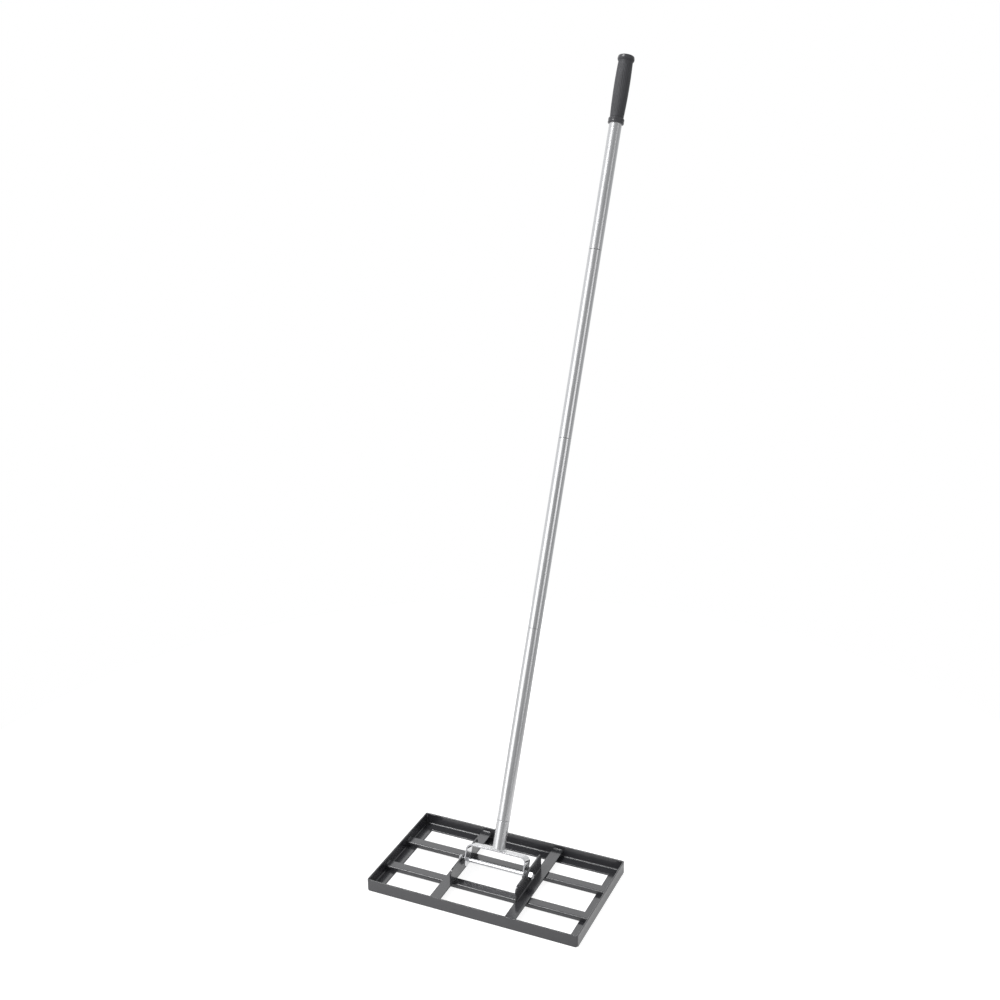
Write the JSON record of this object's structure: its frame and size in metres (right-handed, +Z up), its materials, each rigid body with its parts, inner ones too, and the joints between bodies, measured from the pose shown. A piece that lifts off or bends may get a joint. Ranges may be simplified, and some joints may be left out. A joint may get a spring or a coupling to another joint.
{
  "type": "manual levelling rake",
  "caption": "Hand levelling rake: an open welded steel grid head with angle-iron sides, a tilting U-bracket on a long bolt, and a screwed sectional tube pole with a rubber grip.",
  "frame": {"origin": "middle of the front angle iron's flange, on the plane of the head's underside", "axes": "+X along the head's long side, +Y to the back, the side the pole leans to, +Z up"},
  "size_m": [0.43, 0.7942, 1.4867],
  "materials": {
    "frame_paint": "glossy black powder coat over brushed steel",
    "zinc_plate": "bright zinc plate",
    "brushed_tube": "satin, brushed along the tube",
    "thread_insert": "turned",
    "end_plug_plastic": "moulded",
    "grip_rubber": "fine moulded texture"
  },
  "bodies": {
    "head": {"frame_front_angle": "frame_paint", "frame_back_angle": "frame_paint", "frame_left_angle": "frame_paint", "frame_right_angle": "frame_paint", "frame_corner_welds": "frame_paint", "front_row_bar": "frame_paint", "back_row_bar": "frame_paint", "row_bar_welds": "frame_paint", "left_crossbar": "frame_paint", "right_crossbar": "frame_paint", "crossbar_welds": "frame_paint", "left_ear": "frame_paint", "right_ear": "frame_paint", "ear_welds": "frame_paint", "pivot_bolt": "zinc_plate", "pivot_nut": "zinc_plate", "inner_washers": "zinc_plate", "outer_washers": "zinc_plate"},
    "pole_base": {"tilt_bracket": "zinc_plate", "bracket_stub": "brushed_tube", "stub_weld": "zinc_plate", "stub_socket": "thread_insert"},
    "pole_section_1": {"pole_1": "brushed_tube", "pole_1_stud": "thread_insert", "pole_1_socket": "thread_insert"},
    "pole_section_2": {"pole_2": "brushed_tube", "pole_2_stud": "thread_insert", "pole_2_socket": "thread_insert"},
    "pole_section_3": {"pole_3": "brushed_tube", "pole_3_stud": "thread_insert", "pole_3_socket": "thread_insert"},
    "pole_section_4": {"pole_4": "brushed_tube", "pole_4_stud": "thread_insert", "pole_end_plug": "end_plug_plastic", "hand_grip": "grip_rubber"}
  },
  "joints": [
    {"name": "pole_tilt", "type": "hinge", "parent": "head", "child": "pole_base", "pos_m": [0, 0.10875, 0.0345], "axis": [1, 0, 0], "range_deg": [-55, 104]},
    {"name": "section_1_unscrew", "type": "slide", "parent": "pole_base", "child": "pole_section_1", "axis": [0, 0.4147, 0.91], "range_m": [0, 0.02]},
    {"name": "section_2_unscrew", "type": "slide", "parent": "pole_section_1", "child": "pole_section_2", "axis": [0, 0.4147, 0.91], "range_m": [0, 0.02]},
    {"name": "section_3_unscrew", "type": "slide", "parent": "pole_section_2", "child": "pole_section_3", "axis": [0, 0.4147, 0.91], "range_m": [0, 0.02]},
    {"name": "section_4_unscrew", "type": "slide", "parent": "pole_section_3", "child": "pole_section_4", "axis": [0, 0.4147, 0.91], "range_m": [0, 0.02]}
  ]
}
